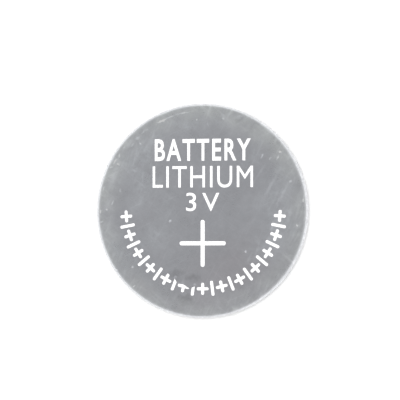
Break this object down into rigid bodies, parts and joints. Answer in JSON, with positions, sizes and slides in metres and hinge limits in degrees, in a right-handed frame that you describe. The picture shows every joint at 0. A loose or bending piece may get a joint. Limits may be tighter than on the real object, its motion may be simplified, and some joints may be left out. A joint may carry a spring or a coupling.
{
  "type": "lithium coin cell",
  "caption": "Flat round lithium coin cell: a drawn steel can with rounded edges, crimped over a plastic seal and a stepped steel cap, lying with its positive face up.",
  "frame": {"origin": "centre of the negative contact, which is also the bottom centre of the part's box", "axes": "+Z along the cell's axis, out of the positive face; the cell is round, so +X and +Y are free, and the marks on the face read upright with +Y up"},
  "size_m": [0.02, 0.02, 0.0016],
  "materials": {
    "can_steel": "satin nickel plate on stainless steel, finely scratched",
    "cap_steel": "satin stainless steel",
    "seal_plastic": "natural polypropylene",
    "lithium_metal": "soft dull lithium, rolled",
    "separator_felt": "thin felt of plastic fibre",
    "cathode_mix": "pressed manganese dioxide and graphite",
    "ring_steel": "bright thin stainless steel"
  },
  "bodies": {
    "root": {"positive_can": "can_steel", "negative_cap": "cap_steel", "sealing_gasket": "seal_plastic", "lithium_anode": "lithium_metal", "separator": "separator_felt", "cathode_pellet": "cathode_mix", "cathode_ring": "ring_steel"}
  },
  "joints": []
}
